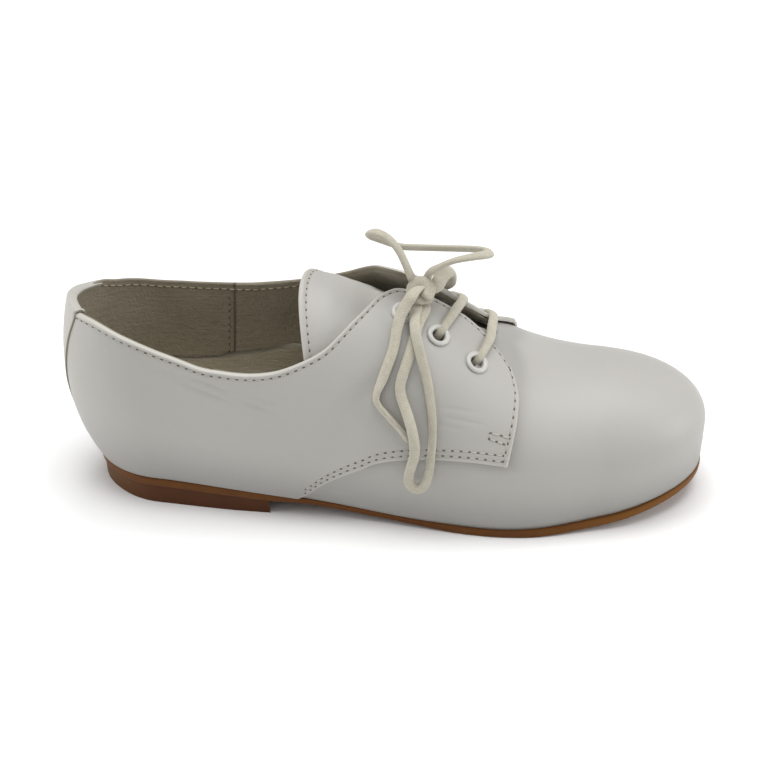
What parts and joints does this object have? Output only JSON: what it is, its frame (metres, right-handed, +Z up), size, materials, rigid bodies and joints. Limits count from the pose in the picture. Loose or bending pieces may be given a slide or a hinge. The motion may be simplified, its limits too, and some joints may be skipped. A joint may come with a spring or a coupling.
{
  "type": "lace-up shoe",
  "caption": "Child's white leather lace-up derby shoe for the right foot, with a round toe, open collar, loose cream lace bow, thin tan sole and low brown heel.",
  "frame": {"origin": "on the floor under the middle of the shoe's box, lace left out", "axes": "+X towards the toe, +Y towards the inner side of the right foot, +Z up"},
  "size_m": [0.209, 0.0764, 0.0934],
  "materials": {
    "white_leather": "satin",
    "taupe_lining": "matte",
    "tan_sole": "satin",
    "brown_heel": "satin",
    "white_enamel": "gloss",
    "cream_cotton": "matte"
  },
  "bodies": {
    "root": {"upper": "white_leather", "backstay": "white_leather", "tongue": "white_leather", "insole": "taupe_lining", "outsole": "tan_sole", "heel": "brown_heel", "eyelet_outer_1": "white_enamel", "eyelet_outer_2": "white_enamel", "eyelet_outer_3": "white_enamel", "eyelet_inner_1": "white_enamel", "eyelet_inner_2": "white_enamel", "eyelet_inner_3": "white_enamel", "lace_bar_2": "cream_cotton", "lace_bar_3": "cream_cotton", "lace_knot": "cream_cotton", "lace_loop_upper": "cream_cotton", "lace_loop_hanging": "cream_cotton", "lace_end_near": "cream_cotton", "lace_end_far": "cream_cotton"}
  },
  "joints": []
}
